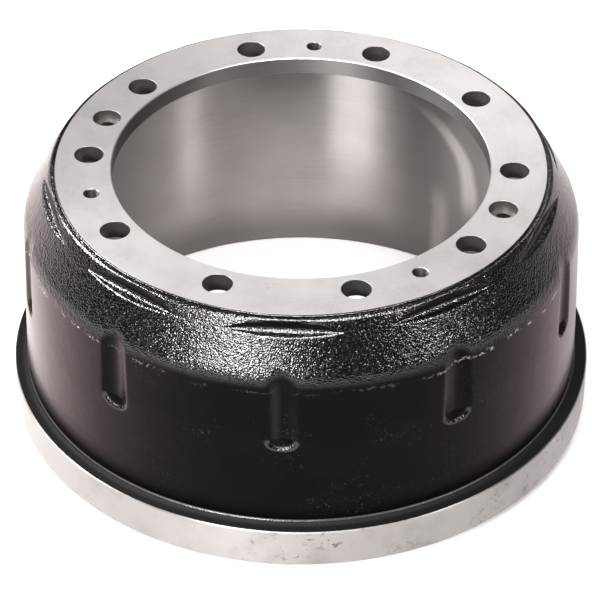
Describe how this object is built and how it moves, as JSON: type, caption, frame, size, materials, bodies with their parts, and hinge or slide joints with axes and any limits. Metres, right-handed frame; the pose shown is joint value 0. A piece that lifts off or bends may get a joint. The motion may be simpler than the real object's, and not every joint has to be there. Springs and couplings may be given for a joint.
{
  "type": "brake drum",
  "caption": "Cast iron brake drum with a drilled mounting flange, a fluted and notched outer wall and a turned ring round the open mouth.",
  "frame": {"origin": "on the drum's axis in the plane of the open mouth, which is what the drum stands on", "axes": "+Z along the drum's axis from the mouth towards the flange face, +X through the first wheel bolt hole"},
  "size_m": [0.4687, 0.4688, 0.227],
  "materials": {
    "iron": "black paint on the cast skin, bright turned flange, bore, braking surface and ring"
  },
  "bodies": {
    "root": {"brake_drum": "iron"}
  },
  "joints": []
}
